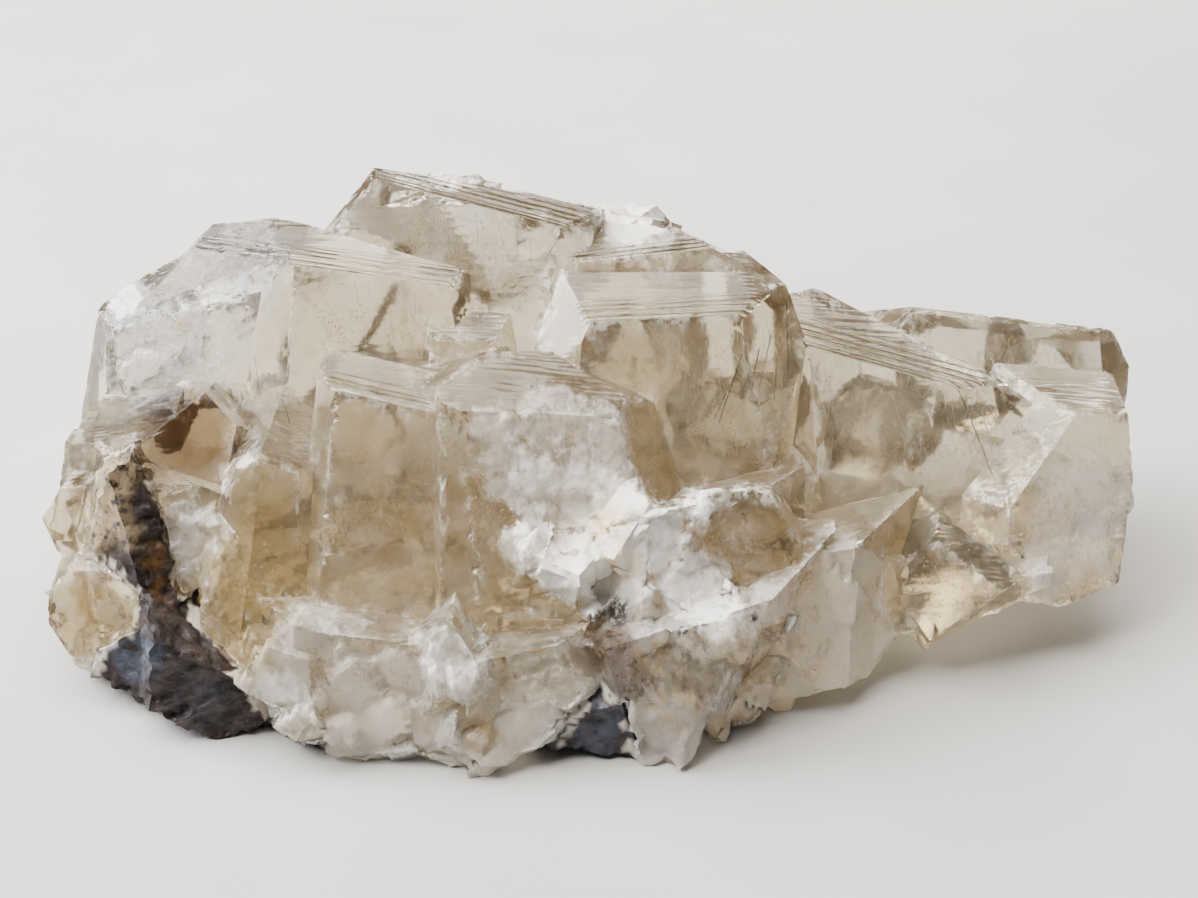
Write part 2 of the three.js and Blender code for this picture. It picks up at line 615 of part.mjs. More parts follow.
// A six-sided prism with a head of three broad and three narrow faces.
function backCrystal([root, heading, rise, spin, width, length]) {
  const prism = new THREE.CylinderGeometry(width / 2, width / 2, 1.4 * length, 6);
  prism.translate(0, 0.3 * length, 0);
  let solid = solidFrom(prism);
  const slope = radians(PRISM_TO_HEAD_ANGLE);
  for (let i = 0; i < 6; i += 1) {
    const round = radians(60 * i + 30);
    const normal = new THREE.Vector3(
      Math.cos(slope) * Math.sin(round),
      Math.sin(slope),
      Math.cos(slope) * Math.cos(round)
    );
    const reach = (width / 2) * (i % 2 === 0 ? HEAD_WIDTH_RATIO : HEAD_WIDTH_RATIO + 0.14);
    const point = normal.clone().multiplyScalar(reach).add(new THREE.Vector3(0, length - width / 2, 0));
    solid = cutBehind(solid, new THREE.Plane().setFromNormalAndCoplanarPoint(normal, point));
  }
  const lean = new THREE.Matrix4()
    .makeRotationZ(radians(heading))
    .multiply(new THREE.Matrix4().makeRotationY(radians(90 - rise)))
    .multiply(new THREE.Matrix4().makeRotationX(Math.PI / 2))
    .multiply(new THREE.Matrix4().makeRotationY(radians(spin)));
  const place = new THREE.Matrix4().makeTranslation(...root);
  return solid.transform(place.multiply(lean).elements);
}

// The part of a solid above the resting surface and above the lifted underside of the right end.
function aboveGround(solid) {
  const rise = radians(LIFT_ANGLE);
  const lifted = solid.trimByPlane([-Math.sin(rise), 0, Math.cos(rise)], -LIFT_START * Math.sin(rise));
  return lifted.trimByPlane([0, 0, 1], 0);
}

// The largest single body of a solid, without crumbs or sealed hollows.
function mainBody(solid) {
  const bodies = solid.decompose();
  bodies.sort((a, b) => b.volume() - a.volume());
  return bodies[0];
}

function hostSolid(swell) {
  return wasm.Manifold.union([
    ...Object.values(HOST_BLOCKS).map((spec) => crystalInWorld(spec, swell)),
    ...Object.values(HOST_LUMPS).map((spec) => lump(spec, swell)),
  ]);
}

const quartzGrowth = wasm.Manifold.union([
  ...Object.values(CRYSTALS).map((spec) => crystalInWorld(spec, 0)),
  ...Object.values(MILKY_LUMPS).map((spec) => lump(spec, 0)),
  ...Object.values(MILKY_SHARDS).map((spec) => shard(spec)),
  ...Object.values(BACK_CRYSTALS).map((spec) => backCrystal(spec)),
]);
const quartz = mainBody(aboveGround(quartzGrowth.subtract(hostSolid(SEAM))));
const hostRock = mainBody(aboveGround(hostSolid(0)));

function meshFrom(name, solid, material) {
  const { vertProperties, triVerts } = solid.getMesh();
  const geometry = new THREE.BufferGeometry();
  geometry.setAttribute("position", new THREE.BufferAttribute(vertProperties, 3));
  geometry.setIndex(new THREE.BufferAttribute(triVerts, 1));
  const flat = geometry.toNonIndexed();
  flat.computeVertexNormals();
  const mesh = new THREE.Mesh(flat, material);
  mesh.name = name;
  return mesh;
}

const specimen = new THREE.Group();
specimen.name = "quartz_specimen";
specimen.add(
  meshFrom(
    "quartz_cluster",
    quartz,
    new THREE.MeshStandardMaterial({
      color: 0xcdbfa4,
      roughness: 0.15,
      metalness: 0,
      transparent: true,
      opacity: 0.8,
    })
  ),
  meshFrom(
    "host_rock",
    hostRock,
    new THREE.MeshStandardMaterial({ color: 0x3a3230, roughness: 0.5, metalness: 0 })
  )
);

// The middle of the specimen goes over the origin.
const extent = new THREE.Box3().setFromObject(specimen);
const middle = extent.getCenter(new THREE.Vector3());
for (const mesh of specimen.children) {
  mesh.geometry.translate(-middle.x, -middle.y, -extent.min.z);
}

export default specimen;
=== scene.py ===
# %% [markdown]
# # A quartz specimen
# A hand-sized group of smoky-clear quartz crystals stands in near-parallel growth on a broken milky base,
# with a scrap of dark host rock at one end and under it. The solids already have every crystal face in its
# place. Blender adds what flat solids lack: chipped edges, broken relief, growth lines, needles and veils
# inside the crystals, and materials that let the light through.

import math
import random

import bmesh
import bpy
from mathutils import Matrix, Vector, kdtree, noise
from mathutils.bvhtree import BVHTree


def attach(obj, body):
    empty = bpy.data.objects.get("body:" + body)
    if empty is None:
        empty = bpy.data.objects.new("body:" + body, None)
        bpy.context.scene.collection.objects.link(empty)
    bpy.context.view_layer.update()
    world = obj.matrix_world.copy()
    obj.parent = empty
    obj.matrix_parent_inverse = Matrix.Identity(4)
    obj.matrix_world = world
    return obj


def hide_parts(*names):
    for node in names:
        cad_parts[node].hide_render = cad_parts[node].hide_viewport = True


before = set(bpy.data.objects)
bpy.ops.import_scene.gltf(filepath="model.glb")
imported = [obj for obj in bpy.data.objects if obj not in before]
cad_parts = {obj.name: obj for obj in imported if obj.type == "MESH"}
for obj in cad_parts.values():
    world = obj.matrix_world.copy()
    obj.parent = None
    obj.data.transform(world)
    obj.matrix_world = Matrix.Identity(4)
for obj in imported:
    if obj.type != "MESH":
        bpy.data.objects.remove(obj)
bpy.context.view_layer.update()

# %% [markdown]
# ## Places in the front view
# Milk, stains and needles belong to spots that the front view shows, so their places are written as that
# view has them: u to the right and v up, in millimetres. They could be painted on by hand, but two small
# functions that turn a point into u and v, and back, keep every place in one short list. All mesh work is
# done in millimetres, because a crystal's detail is then a number that is easy to read.

# %% The front view
MM = 0.001
VIEW_ELEVATION = math.radians(32)
VIEW_DISTANCE = 275.0
VIEW_TARGET = Vector((1.657, -9.787, 31.0))
VIEW_RIGHT = Vector((1, 0, 0))
VIEW_UP = Vector((0, math.sin(VIEW_ELEVATION), math.cos(VIEW_ELEVATION)))
VIEW_NEAR = Vector((0, -math.cos(VIEW_ELEVATION), math.sin(VIEW_ELEVATION)))


def place_seen(u, v, near):
    """The point that shows at u and v and stands out by near from the middle of the view."""
    shrink = 1 - near / VIEW_DISTANCE
    return VIEW_TARGET + shrink * (u * VIEW_RIGHT + v * VIEW_UP) + near * VIEW_NEAR


def view_of(place):
    """Where a point shows in the front view: u, v and near."""
    offset = place - VIEW_TARGET
    near = offset.dot(VIEW_NEAR)
    shrink = 1 - near / VIEW_DISTANCE
    return offset.dot(VIEW_RIGHT) / shrink, offset.dot(VIEW_UP) / shrink, near


EYE = place_seen(0, 0, VIEW_DISTANCE)
print("the eye stands at", [round(value, 1) for value in EYE], "mm")

# %% [markdown]
# ## A working copy of a solid
# A solid comes as loose triangles, so the copy's doubles are merged before anything else. Its flat faces are
# a few large triangles, and relief needs points to move: long edges are halved again and again until none is
# longer than the detail that is wanted. A voxel remesh would be quicker to write, but it rounds every crystal
# edge, and the edges are what make quartz look like quartz.


# %% Copy and refine
FLAT_ANGLE = math.radians(0.6)
MERGE_DISTANCE = 0.004
SLIVER = 0.01


def copy_of_solid(node_name):
    """A solid's mesh as a bmesh in millimetres, with its doubles merged."""
    work = bmesh.new()
    work.from_mesh(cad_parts[node_name].data)
    bmesh.ops.scale(work, vec=(1 / MM,) * 3, verts=work.verts)
    bmesh.ops.remove_doubles(work, verts=work.verts, dist=MERGE_DISTANCE)
    bmesh.ops.dissolve_limit(work, angle_limit=FLAT_ANGLE, verts=work.verts, edges=work.edges)
    bmesh.ops.triangulate(work, faces=work.faces, ngon_method="BEAUTY")
    bmesh.ops.dissolve_degenerate(work, edges=work.edges, dist=SLIVER)
    return work


def refine(work, longest, passes, wanted=None):
    """Halves the wanted edges that are longer than that, in a few passes."""
    for _ in range(passes):
        long_edges = [
            edge for edge in work.edges
            if edge.calc_length() > longest and (wanted is None or wanted(edge))
        ]
        if not long_edges:
            break
        bmesh.ops.subdivide_edges(work, edges=long_edges, cuts=1)
        many_sided = [face for face in work.faces if len(face.verts) > 3]
        bmesh.ops.triangulate(work, faces=many_sided)


def fade(value, start, end):
    """0 at start, 1 at end, and a soft step between them."""
    share = min(max((value - start) / (end - start), 0), 1)
    return share * share * (3 - 2 * share)


quartz = copy_of_solid("quartz_cluster")
print("quartz copy:", len(quartz.verts), "points,", len(quartz.faces), "triangles")

# %% [markdown]
# ## Ridges and sutures
# Two kinds of line run over a crystal group. Ridges are the outward edges of each crystal, and they bruise
# and chip. Sutures are the inward lines where two crystals grew against each other, and they fill with white
# crust. Both are found by the angle between neighbouring faces, before the mesh is refined, and kept as rows
# of points in a search tree, so that any point can later ask how far it is from the next one.

# %% Find the ridges and sutures
SHARP_ANGLE = math.radians(16)
LEDGE_STEP = 0.9
LINE_SPACING = 0.35
SHORTEST_EDGE = 0.05


def is_ledge(edge):
    """True for the low growth ledges, whose faces are too narrow to count."""
    return min(2 * face.calc_area() / edge.calc_length() for face in edge.link_faces) < LEDGE_STEP


def line_tree(work, outward):
    """A search tree of points along the sharp edges that point outwards, or inwards."""
    spots = []
    for edge in work.edges:
        if len(edge.link_faces) != 2 or edge.calc_length() < SHORTEST_EDGE:
            continue
        bend = edge.calc_face_angle_signed(0)
        if (bend if outward else -bend) < SHARP_ANGLE or is_ledge(edge):
            continue
        start, end = (corner.co for corner in edge.verts)
        steps = max(1, round(edge.calc_length() / LINE_SPACING))
        spots += [start.lerp(end, step / steps) for step in range(steps + 1)]
    tree = kdtree.KDTree(len(spots))
    for number, spot in enumerate(spots):
        tree.insert(spot, number)
    tree.balance()
    print("outward" if outward else "inward", "lines:", len(spots), "points")
    return tree


ridges = line_tree(quartz, True)
sutures = line_tree(quartz, False)

# %% [markdown]
# ## Where the quartz is milky, stained or clear
# Quartz turns milky where tiny bubbles and cracks fill it: here in the broken base, in the bruised patch on
# the front crystal and in the crust between the crystals. Each patch is a spot in the front view with a
# radius and a strength, and the hidden back and underside follow from height and depth. A painted mask would
# do the same, but a list of spots can be read and changed.

# %% Lists of patches
# u, v, radius, strength
MILKY_SPOTS = [
    (-14.8, 1.3, 5.0, 0.75), (-7.3, 4.0, 6.0, 0.7), (0.4, 2.4, 6.0, 0.75), (-9.4, -5.6, 6.5, 1.0),
    (-1.3, -6.1, 7.5, 0.95), (-10.3, -14.6, 4.6, 0.95), (-4.3, -17.6, 6.5, 1.0), (3.6, -10.7, 7.0, 1.0),
    (1.6, -19.6, 8.5, 1.0), (7.6, -13.7, 6.5, 0.95), (13.7, -20.6, 7.5, 0.85), (19.0, -26.4, 6.0, 0.8),
    (9.0, -26.0, 7.0, 0.8), (15.2, -8.6, 4.5, 0.6), (13.6, -35.5, 10.0, 0.5),
    (28.6, -27.2, 11.0, 0.7), (40.4, -23.4, 9.5, 0.85), (36.0, -17.4, 7.0, 0.8), (18.0, -40.6, 8.0, 0.65),
    (63.0, -25.0, 5.0, 0.5), (66.0, -20.6, 6.0, 0.7), (72.4, -7.6, 9.5, 0.7), (70.0, -16.6, 8.0, 0.75),
    (-47.9, -36.9, 7.0, 0.95), (-33.6, -38.6, 12.0, 0.8), (-42.0, -29.0, 8.0, 0.75),
    (-21.6, -31.6, 6.5, 0.85), (-27.0, -43.6, 9.0, 0.8), (-11.8, -38.4, 7.0, 0.35),
    (-64.4, 14.4, 12.0, 0.55), (-71.1, 22.2, 4.0, 0.8), (-54.6, 28.4, 9.0, 0.6), (-61.4, -15.2, 7.5, 0.85),
    (5.2, 35.6, 6.5, 1.0), (-22.8, 41.6, 4.5, 0.8), (34.0, 24.0, 3.0, 0.4), (22.5, -14.0, 5.0, 0.4),
]
CLEAR_SPOTS = [(53.0, -20.5, 11.5, 1.0), (45.0, -6.0, 9.0, 0.8), (58.0, -4.0, 7.0, 0.8)]
WHITE_SPOTS = [
    (-9.4, -5.6, 6.5, 0.7), (-1.3, -6.1, 7.0, 0.75), (-12.5, 0.5, 4.5, 0.5), (-4.0, 0.0, 6.5, 0.5),
    (1.6, -19.6, 7.0, 1.0), (3.6, -10.7, 6.5, 1.0), (7.6, -13.7, 6.5, 1.0), (13.7, -20.6, 6.0, 0.9),
    (-4.3, -17.6, 6.5, 0.95), (-10.0, -13.0, 4.0, 0.85), (18.0, -25.0, 5.0, 0.8), (15.0, -8.4, 3.5, 0.75),
    (-47.9, -36.9, 5.5, 0.75), (-21.6, -31.6, 5.5, 0.75), (-36.0, -42.0, 7.0, 0.25), (-52.8, -2.1, 1.8, 1.0),
    (5.2, 35.6, 6.0, 1.0), (-22.8, 41.6, 3.5, 0.8), (40.0, -21.0, 6.0, 0.3), (71.0, -18.0, 6.0, 0.25),
    (-71.1, 22.2, 3.5, 0.8), (28.0, -20.0, 5.0, 0.3), (-61.0, -14.0, 6.0, 0.5),
]
IRON_SPOTS = [
    (1.6, -12.1, 3.6, 0.9), (3.4, -17.0, 3.0, 0.7), (7.7, -31.6, 3.4, 0.8), (11.0, -37.0, 6.0, 0.55),
    (-17.9, -42.1, 3.4, 0.8), (-26.0, -40.5, 2.5, 0.5), (20.0, -30.0, 3.0, 0.5), (72.0, -20.0, 4.0, 0.5),
    (52.0, -30.0, 3.0, 0.5), (-76.0, -25.0, 6.0, 0.6), (-78.0, -11.0, 6.0, 0.5), (-62.4, 18.2, 1.4, 0.8),
]
HONEY_SPOTS = [
    (-52.4, -18.2, 9.0, 1.0), (-51.0, -8.0, 6.0, 0.9), (-54.0, -28.0, 7.0, 1.0), (-75.6, -24.9, 8.0, 0.7),
    (-78.6, -11.4, 7.0, 0.5), (-57.0, -22.0, 6.0, 0.8),
]
FROST_SPOTS = [
    (-64.0, 16.0, 13.0, 1.0), (-54.0, 27.0, 10.0, 1.0), (-61.4, -15.2, 7.0, 0.7), (71.0, -10.0, 11.0, 0.4),
]
SMOKE_SPOTS = [
    (-60.6, 2.0, 8.5, 1.0), (-66.0, -1.0, 4.5, 0.9), (-73.0, -4.0, 5.0, 0.5), (1.5, -29.0, 4.5, 0.8),
    (4.5, -34.0, 4.0, 0.8), (-2.5, -31.0, 3.0, 0.5),
]
DIRT_SPOTS = [
    (2.5, -24.6, 2.6, 0.9), (7.0, -26.8, 2.4, 0.8), (5.0, -35.0, 4.4, 0.8), (1.0, -38.5, 4.0, 0.9),
    (23.0, -38.4, 1.6, 1.0), (23.1, -25.2, 1.2, 1.0), (32.4, -37.4, 1.4, 1.0), (67.0, -19.4, 2.0, 0.6),
    (-53.0, 0.5, 2.2, 0.7),
]
# Crusty lines: a row of places, half width, strength
CRUST_LINES = [
    ([(0.9, 35.4), (-1.3, 34.0), (-2.9, 31.3), (-5.8, 27.6), (-8.1, 23.1), (-9.3, 17.1)], 0.9, 0.9),
    ([(46.4, 17.4), (50.4, 14.1), (60.1, 9.6), (69.9, 5.2)], 0.7, 0.9),
    ([(-4.0, 27.9), (13.7, 29.2), (27.4, 24.1)], 0.6, 0.8),
    ([(-54.1, 3.6), (-56.5, -5.4)], 0.9, 1.0),
    ([(7.7, -9.9), (15.2, -7.2), (24.2, -6.2), (27.9, -8.4)], 0.8, 0.9),
    ([(-1.3, 19.0), (20.4, 20.0)], 0.5, 0.6),
    ([(30.2, 16.4), (32.4, 7.4), (33.2, -3.2), (29.4, -12.2)], 0.4, 0.7),
    ([(66.2, 6.6), (65.4, -1.7)], 0.35, 0.7),
    ([(71.4, 5.6), (67.7, 1.4), (62.0, -8.1)], 0.35, 0.5),
    ([(-40.0, 8.9), (-21.6, 4.7), (1.0, 5.0)], 0.35, 0.45),
    ([(-44.8, 27.4), (-22.8, 24.4)], 0.35, 0.4),
]
BACK_OF_VIEW = -26
PATCH_CORE, SPOT_EDGE, LINE_EDGE = 0.5, 1.25, 1.4
# Without a seed, the noise would take its place from the clock
NOISE_SEED = 11
noise.seed_set(NOISE_SEED)


def spots_at(spots, u, v, near):
    """How strongly a list of round spots covers a place of the front view."""
    cover = 0.0
    if near > BACK_OF_VIEW:
        for spot_u, spot_v, radius, strength in spots:
            far = math.hypot(u - spot_u, v - spot_v)
            if far < radius * SPOT_EDGE:
                cover = max(cover, strength * (1 - fade(far, radius * PATCH_CORE, radius * SPOT_EDGE)))
    return cover


def lines_at(u, v, near):
    """How strongly the crusty lines cover a place of the front view."""
    cover = 0.0
    if near > BACK_OF_VIEW:
        for places, half_width, strength in CRUST_LINES:
            for (u0, v0), (u1, v1) in zip(places, places[1:]):
                run_u, run_v = u1 - u0, v1 - v0
                along = ((u - u0) * run_u + (v - v0) * run_v) / (run_u**2 + run_v**2)
                along = min(max(along, 0), 1)
                far = math.hypot(u - u0 - along * run_u, v - v0 - along * run_v)
                thin = fade(far, half_width * PATCH_CORE, half_width * LINE_EDGE)
                cover = max(cover, strength * (1 - thin))
    return cover


def milk_of_roots(place):
    """Milk of the broken base: strong low down, strongest at the hidden back and underside."""
    blur = noise.noise(place * 0.09) * 7 + noise.noise(place * 0.3) * 2
    behind = fade(place.y, 22, 40)
    return max(1.0 - fade(place.z + blur, 5 + 10 * behind, 13 + 14 * behind), 0.22 * behind)


def milk_at(place):
    """How milky the quartz is at a place, 0 to 1. Noise bends the borders of the patches."""
    u, v, near = view_of(place)
    bend = noise.noise_vector(place * 0.16) * 2.6 + noise.noise_vector(place * 0.45) * 1.3
    milk = max(spots_at(MILKY_SPOTS, u + bend.x, v + bend.y, near), milk_of_roots(place))
    return milk * (1 - spots_at(CLEAR_SPOTS, u, v, near))


print(len(MILKY_SPOTS), "milky patches,", len(IRON_SPOTS), "iron stains,", len(CRUST_LINES), "crusty lines")

# %% [markdown]
# ## Relief
# The copy is refined most where the real surface is rough: along the ridges, where chips are half a
# millimetre across, and in the milky zones. A broken face is made of small tilted facets. Smooth noise would
# look like melted wax there, so each cell of a Voronoi pattern gets a plane of its own and the surface steps
# from plane to plane, as broken quartz does.

# %% Refine the quartz where it is rough
FACE_DETAIL = 4.0
MILKY_DETAIL = 1.15
RIDGE_DETAIL = 0.9
MILKY_FROM = 0.3
RIDGE_REACH = 0.5


def middle_of(edge):
    """The middle of an edge."""
    return (edge.verts[0].co + edge.verts[1].co) / 2


def in_milk(edge):
    """True for an edge in a milky zone."""
    return milk_at(middle_of(edge)) > MILKY_FROM


def along_ridge(edge):
    """True for an edge that lies on or next to a ridge."""
    return ridges.find(middle_of(edge))[2] < RIDGE_REACH


refine(quartz, FACE_DETAIL, 4)
refine(quartz, MILKY_DETAIL, 3, in_milk)
refine(quartz, RIDGE_DETAIL, 3, along_ridge)
print("refined quartz:", len(quartz.verts), "points,", len(quartz.faces), "triangles")

# %% [markdown]
# ## Moving the points
# Every point moves along its normal: out where crust has grown, in where a ridge is chipped, and both ways
# where the stone is broken. The same pass notes what the material will need at that point, because the place
# in the front view is then already worked out. A displace modifier would move the points but note nothing.

# %% Move the points
LARGE_FACET = 7.5
SMALL_FACET = 3.0
CHIP_WIDTH = 0.9
CHIP_DEPTH = 0.55
RIDGE_WIDTH = 0.7


def facet_step(place, size):
    """Height of a broken surface: each cell of that size is a plane with a tilt of its own."""
    near_spots = noise.voronoi(place / size)[1]
    middle = near_spots[0]
    tilt = noise.noise_vector(middle * 7.3)
    return size * (tilt.dot(place / size - middle) * 0.8 + 0.25 * noise.noise(middle * 5.1))


def chip_depth(place, far):
    """Depth of the bruises along a ridge, at that distance from it."""
    bite = fade(noise.noise(place * 0.55) + 0.6 * noise.noise(place * 1.7), 0.12, 0.75)
    return (0.06 + CHIP_DEPTH * bite) * (1 - fade(far, 0.0, CHIP_WIDTH))


def relief_at(place, facing):
    """How far the surface moves out at a place, and the values its material needs there."""
    u, v, near = view_of(place)
    ridge_far, suture_far = ridges.find(place)[2], sutures.find(place)[2]
    milk = milk_at(place)
    healed = fade(noise.noise(place * 0.12) + 0.5 * noise.noise(place * 0.5), 0.0, 0.35)
    crust = max(lines_at(u, v, near), (0.04 + 0.3 * healed) * (1 - fade(suture_far, 0.1, 0.7)))
    swell = 0.07 * noise.noise(place * 0.22) + 0.025 * noise.noise(place * 0.7)
    broken = facet_step(place, LARGE_FACET) * 0.9 + facet_step(place, SMALL_FACET) * 0.35
    grit = 0.2 * crust * (noise.noise(place * 1.3) + 0.6)
    rough = fade(milk, 0.25, 0.8) * (1 - 0.65 * fade(v, -12, -2)) * (1 - 0.45 * fade(u, 24, 34))
    out = swell + rough * 0.9 * broken + grit - chip_depth(place, ridge_far)
    return out, {
        "milk": milk,
        "ridge": 1 - fade(ridge_far, 0.0, RIDGE_WIDTH),
        "crust": crust,
        "striae": fade(facing.z, 0.72, 0.9) * (1 - fade(milk, 0.2, 0.5)),
        "white": spots_at(WHITE_SPOTS, u, v, near),
        "iron": spots_at(IRON_SPOTS, u, v, near),
        "honey": spots_at(HONEY_SPOTS, u, v, near),
        "smoke": spots_at(SMOKE_SPOTS, u, v, near),
        "frost": spots_at(FROST_SPOTS, u, v, near),
        "dirt": spots_at(DIRT_SPOTS, u, v, near),
    }


quartz.normal_update()
moves = [relief_at(point.co, point.normal) for point in quartz.verts]
for point, (out, _) in zip(quartz.verts, moves):
    point.co += point.normal * out
    point.co.z = max(point.co.z, 0.0)
quartz_values = {key: [values[key] for _, values in moves] for key in moves[0][1]}
farthest = [round(pick(out for out, _ in moves), 2) for pick in (max, min)]
print("largest move out and in, mm:", farthest)

# %% [markdown]
# ## From working copy to piece
# A finished piece is a mesh in metres at the origin. Its faces are shaded smooth, but an edge that bends
# more than a set angle is marked sharp, so crystal edges stay crisp and slow swells stay soft. The values
# that the material needs become attributes of the mesh's points.

# %% Make the quartz piece
SHARP_SHADING = math.radians(24)


def finish_piece(work, name, finish, values=None, sharp=SHARP_SHADING):
    """Turns a bmesh in millimetres into a piece that rides with the specimen."""
    for face in work.faces:
        face.smooth = True
    for edge in work.edges:
        edge.smooth = edge.calc_face_angle(0) < sharp
    bmesh.ops.scale(work, vec=(MM,) * 3, verts=work.verts)
    mesh = bpy.data.meshes.new(name)
    work.to_mesh(mesh)
    work.free()
    for key, numbers in (values or {}).items():
        mesh.attributes.new(key, "FLOAT", "POINT").data.foreach_set("value", numbers)
    mesh.materials.append(finish)
    piece = bpy.data.objects.new(name, mesh)
    bpy.context.scene.collection.objects.link(piece)
    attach(piece, "root")
    print(name, "has", len(mesh.polygons), "faces")
    return piece


quartz_skin = BVHTree.FromBMesh(quartz)
quartz_finish = bpy.data.materials.new("quartz_clear_to_milky")
quartz_piece = finish_piece(quartz, "quartz_crystals", quartz_finish, quartz_values)
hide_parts("quartz_cluster")

# %% [markdown]
# ## Shader maths in Python
# A material is a web of small sums. Laying each Math node by hand hides the sum that it stands for, so one
# small class holds a socket and knows what plus, minus and times mean. 1 - mask then adds the node by itself.
# Every other node comes from its one method, with its settings first and its sockets after them.


# %% The socket class
class Socket:
    """One output of a material's nodes, which can be used in sums."""

    def __init__(self, tree, output=None):
        self.tree = tree
        self.output = output

    def node(self, kind, settings=None, sockets=None, out=0):
        """A new node, and one of its outputs where it has any."""
        made = self.tree.nodes.new(kind)
        for name, value in (settings or {}).items():
            setattr(made, name, value)
        for name, value in (sockets or {}).items():
            if isinstance(value, Socket):
                self.tree.links.new(value.output, made.inputs[name])
            else:
                made.inputs[name].default_value = value
        return Socket(self.tree, None if out is None else made.outputs[out])

    def sum(self, operation, *terms):
        return self.node("ShaderNodeMath", {"operation": operation}, dict(enumerate(terms)))

    def __add__(self, other):
        return self.sum("ADD", self, other)

    def __sub__(self, other):
        return self.sum("SUBTRACT", self, other)

    def __rsub__(self, other):
        return self.sum("SUBTRACT", other, self)

    def __mul__(self, other):
        return self.sum("MULTIPLY", self, other)

    __radd__ = __add__
    __rmul__ = __mul__

    def step(self, start, end, low=0.0, high=1.0):
        """A soft step from low to high, as this value goes from start to end."""
        return self.node(
            "ShaderNodeMapRange", {"interpolation_type": "SMOOTHSTEP"},
            {"Value": self, "From Min": start, "From Max": end, "To Min": low, "To Max": high},
        )

    def tint(self, first, second):
        """The first colour where this value is 0 and the second where it is 1."""
        return self.node("ShaderNodeMix", {"data_type": "RGBA"}, {0: self, 6: first, 7: second}, 2)

    def lit(self, name):
        """The mesh attribute of that name."""
        return self.node("ShaderNodeAttribute", {"attribute_name": name}, out="Fac")

    def cloud(self, size, detail=3.0, rough=0.55, stretch=None):
        """Noise whose lumps are about that many millimetres across."""
        place = self.node("ShaderNodeTexCoord", out="Object")
        if stretch is not None:
            place = self.node("ShaderNodeMapping", sockets={"Vector": place, **stretch})
        return self.node(
            "ShaderNodeTexNoise",
            sockets={"Vector": place, "Scale": 1 / (size * MM), "Detail": detail, "Roughness": rough},
        )


def start_finish(material):
    """Empties a material's nodes and returns a socket to build from."""
    material.use_nodes = True
    material.node_tree.nodes.clear()
    return Socket(material.node_tree)


def end_finish(start, surface, volume=None):
    """Joins the shaders to the material's output."""
    shaders = {"Surface": surface} if volume is None else {"Surface": surface, "Volume": volume}
    start.node("ShaderNodeOutputMaterial", sockets=shaders, out=None)
    print("the finish has", len(start.tree.nodes), "nodes")


print("shader maths ready")

# %% [markdown]
# ## Quartz: clear, smoky and milky
# Clear quartz is glass to the eye: light passes through, bends by an index of 1.544 and loses a little blue
# on the way, which gives the warm smoke of thick places. That loss is a plain absorption inside the piece.
# Milky quartz is the same stone full of fine cracks, so it scatters light and looks like frosted cream. One
# material mixes the two by a mask, because the change from clear to milky has no border in the stone.

# %% Where it is clear and where it is milky
q = start_finish(quartz_finish)
milk, ridge, crust, honey = q.lit("milk"), q.lit("ridge"), q.lit("crust"), q.lit("honey")
feathers = q.cloud(1.7, 4.0, 0.72, {"Scale": (1.0, 1.0, 0.45)})
patches = q.cloud(5.0, 2.0, 0.6)
haze = patches.step(0.35, 0.65, 0.15, 0.3) + 0.14 * feathers.step(0.52, 0.68)
# Milky lines along the ridges: partly bruised edges, partly a painted highlight of light catching the edges
bruise_and_edge_highlight = 0.35 * ridge * feathers.step(0.5, 0.6)
healed = 0.5 * (crust * feathers.step(0.35, 0.55)).step(0.2, 0.7)
white_crust_and_edge_highlight = 0.85 * (q.lit("white") + 1.6 * (feathers - 0.5)).step(0.42, 0.85)
# White crust from the white patches and the sutures, plus thin white along the ridges that is partly chipped
# edge and partly a painted highlight
white_crust_and_edge_highlight = white_crust_and_edge_highlight + 0.6 * crust * feathers.step(0.45, 0.6) + 0.16 * ridge * feathers.step(0.44, 0.58)
milky_mask = 0.66 * (milk + 1.5 * (feathers - 0.5)).step(0.22, 0.8) + haze + bruise_and_edge_highlight + healed
dirt = q.lit("dirt") * feathers.step(0.42, 0.56)
print("the mask is milky where it is near 1 and clear where it is near 0.2")

# %% [markdown]
# ## Growth lines and grain
# The crystal tops carry fine parallel lines, where one thin layer after another stopped growing, and the
# milky stone has a sugary grain. Both are finer than the mesh, so they are a bump. One noise that is drawn
# out along the specimen makes the lines and a round one the grain, and they share a bump to save time.

# %% Growth lines and grain
GROWTH_TURN = {"Rotation": (0.0, 0.0, math.radians(10)), "Scale": (0.06, 1.0, 1.0)}
growth_lines = q.cloud(0.7, 0.0, 0.5, GROWTH_TURN)
grain = q.cloud(1.3, 1.0, 0.6)
surface_height = growth_lines * (0.08 + 0.5 * q.lit("striae")) + grain * (0.12 + 1.5 * milk)
quartz_bump = q.node(
    "ShaderNodeBump", sockets={"Strength": 0.6, "Distance": 0.3 * MM, "Height": surface_height}, out="Normal",
)
print("growth lines run along the specimen and a little to the front")

# %% [markdown]
# ## Three surfaces in one stone
# Clear quartz lets all light through, milky quartz about half, and the white crust none. The milky tints lie
# over one another: body, frost, honey, smoke, crust and rust. The absorption stays one constant colour, so
# thick crystals look smokier than thin ones by themselves.

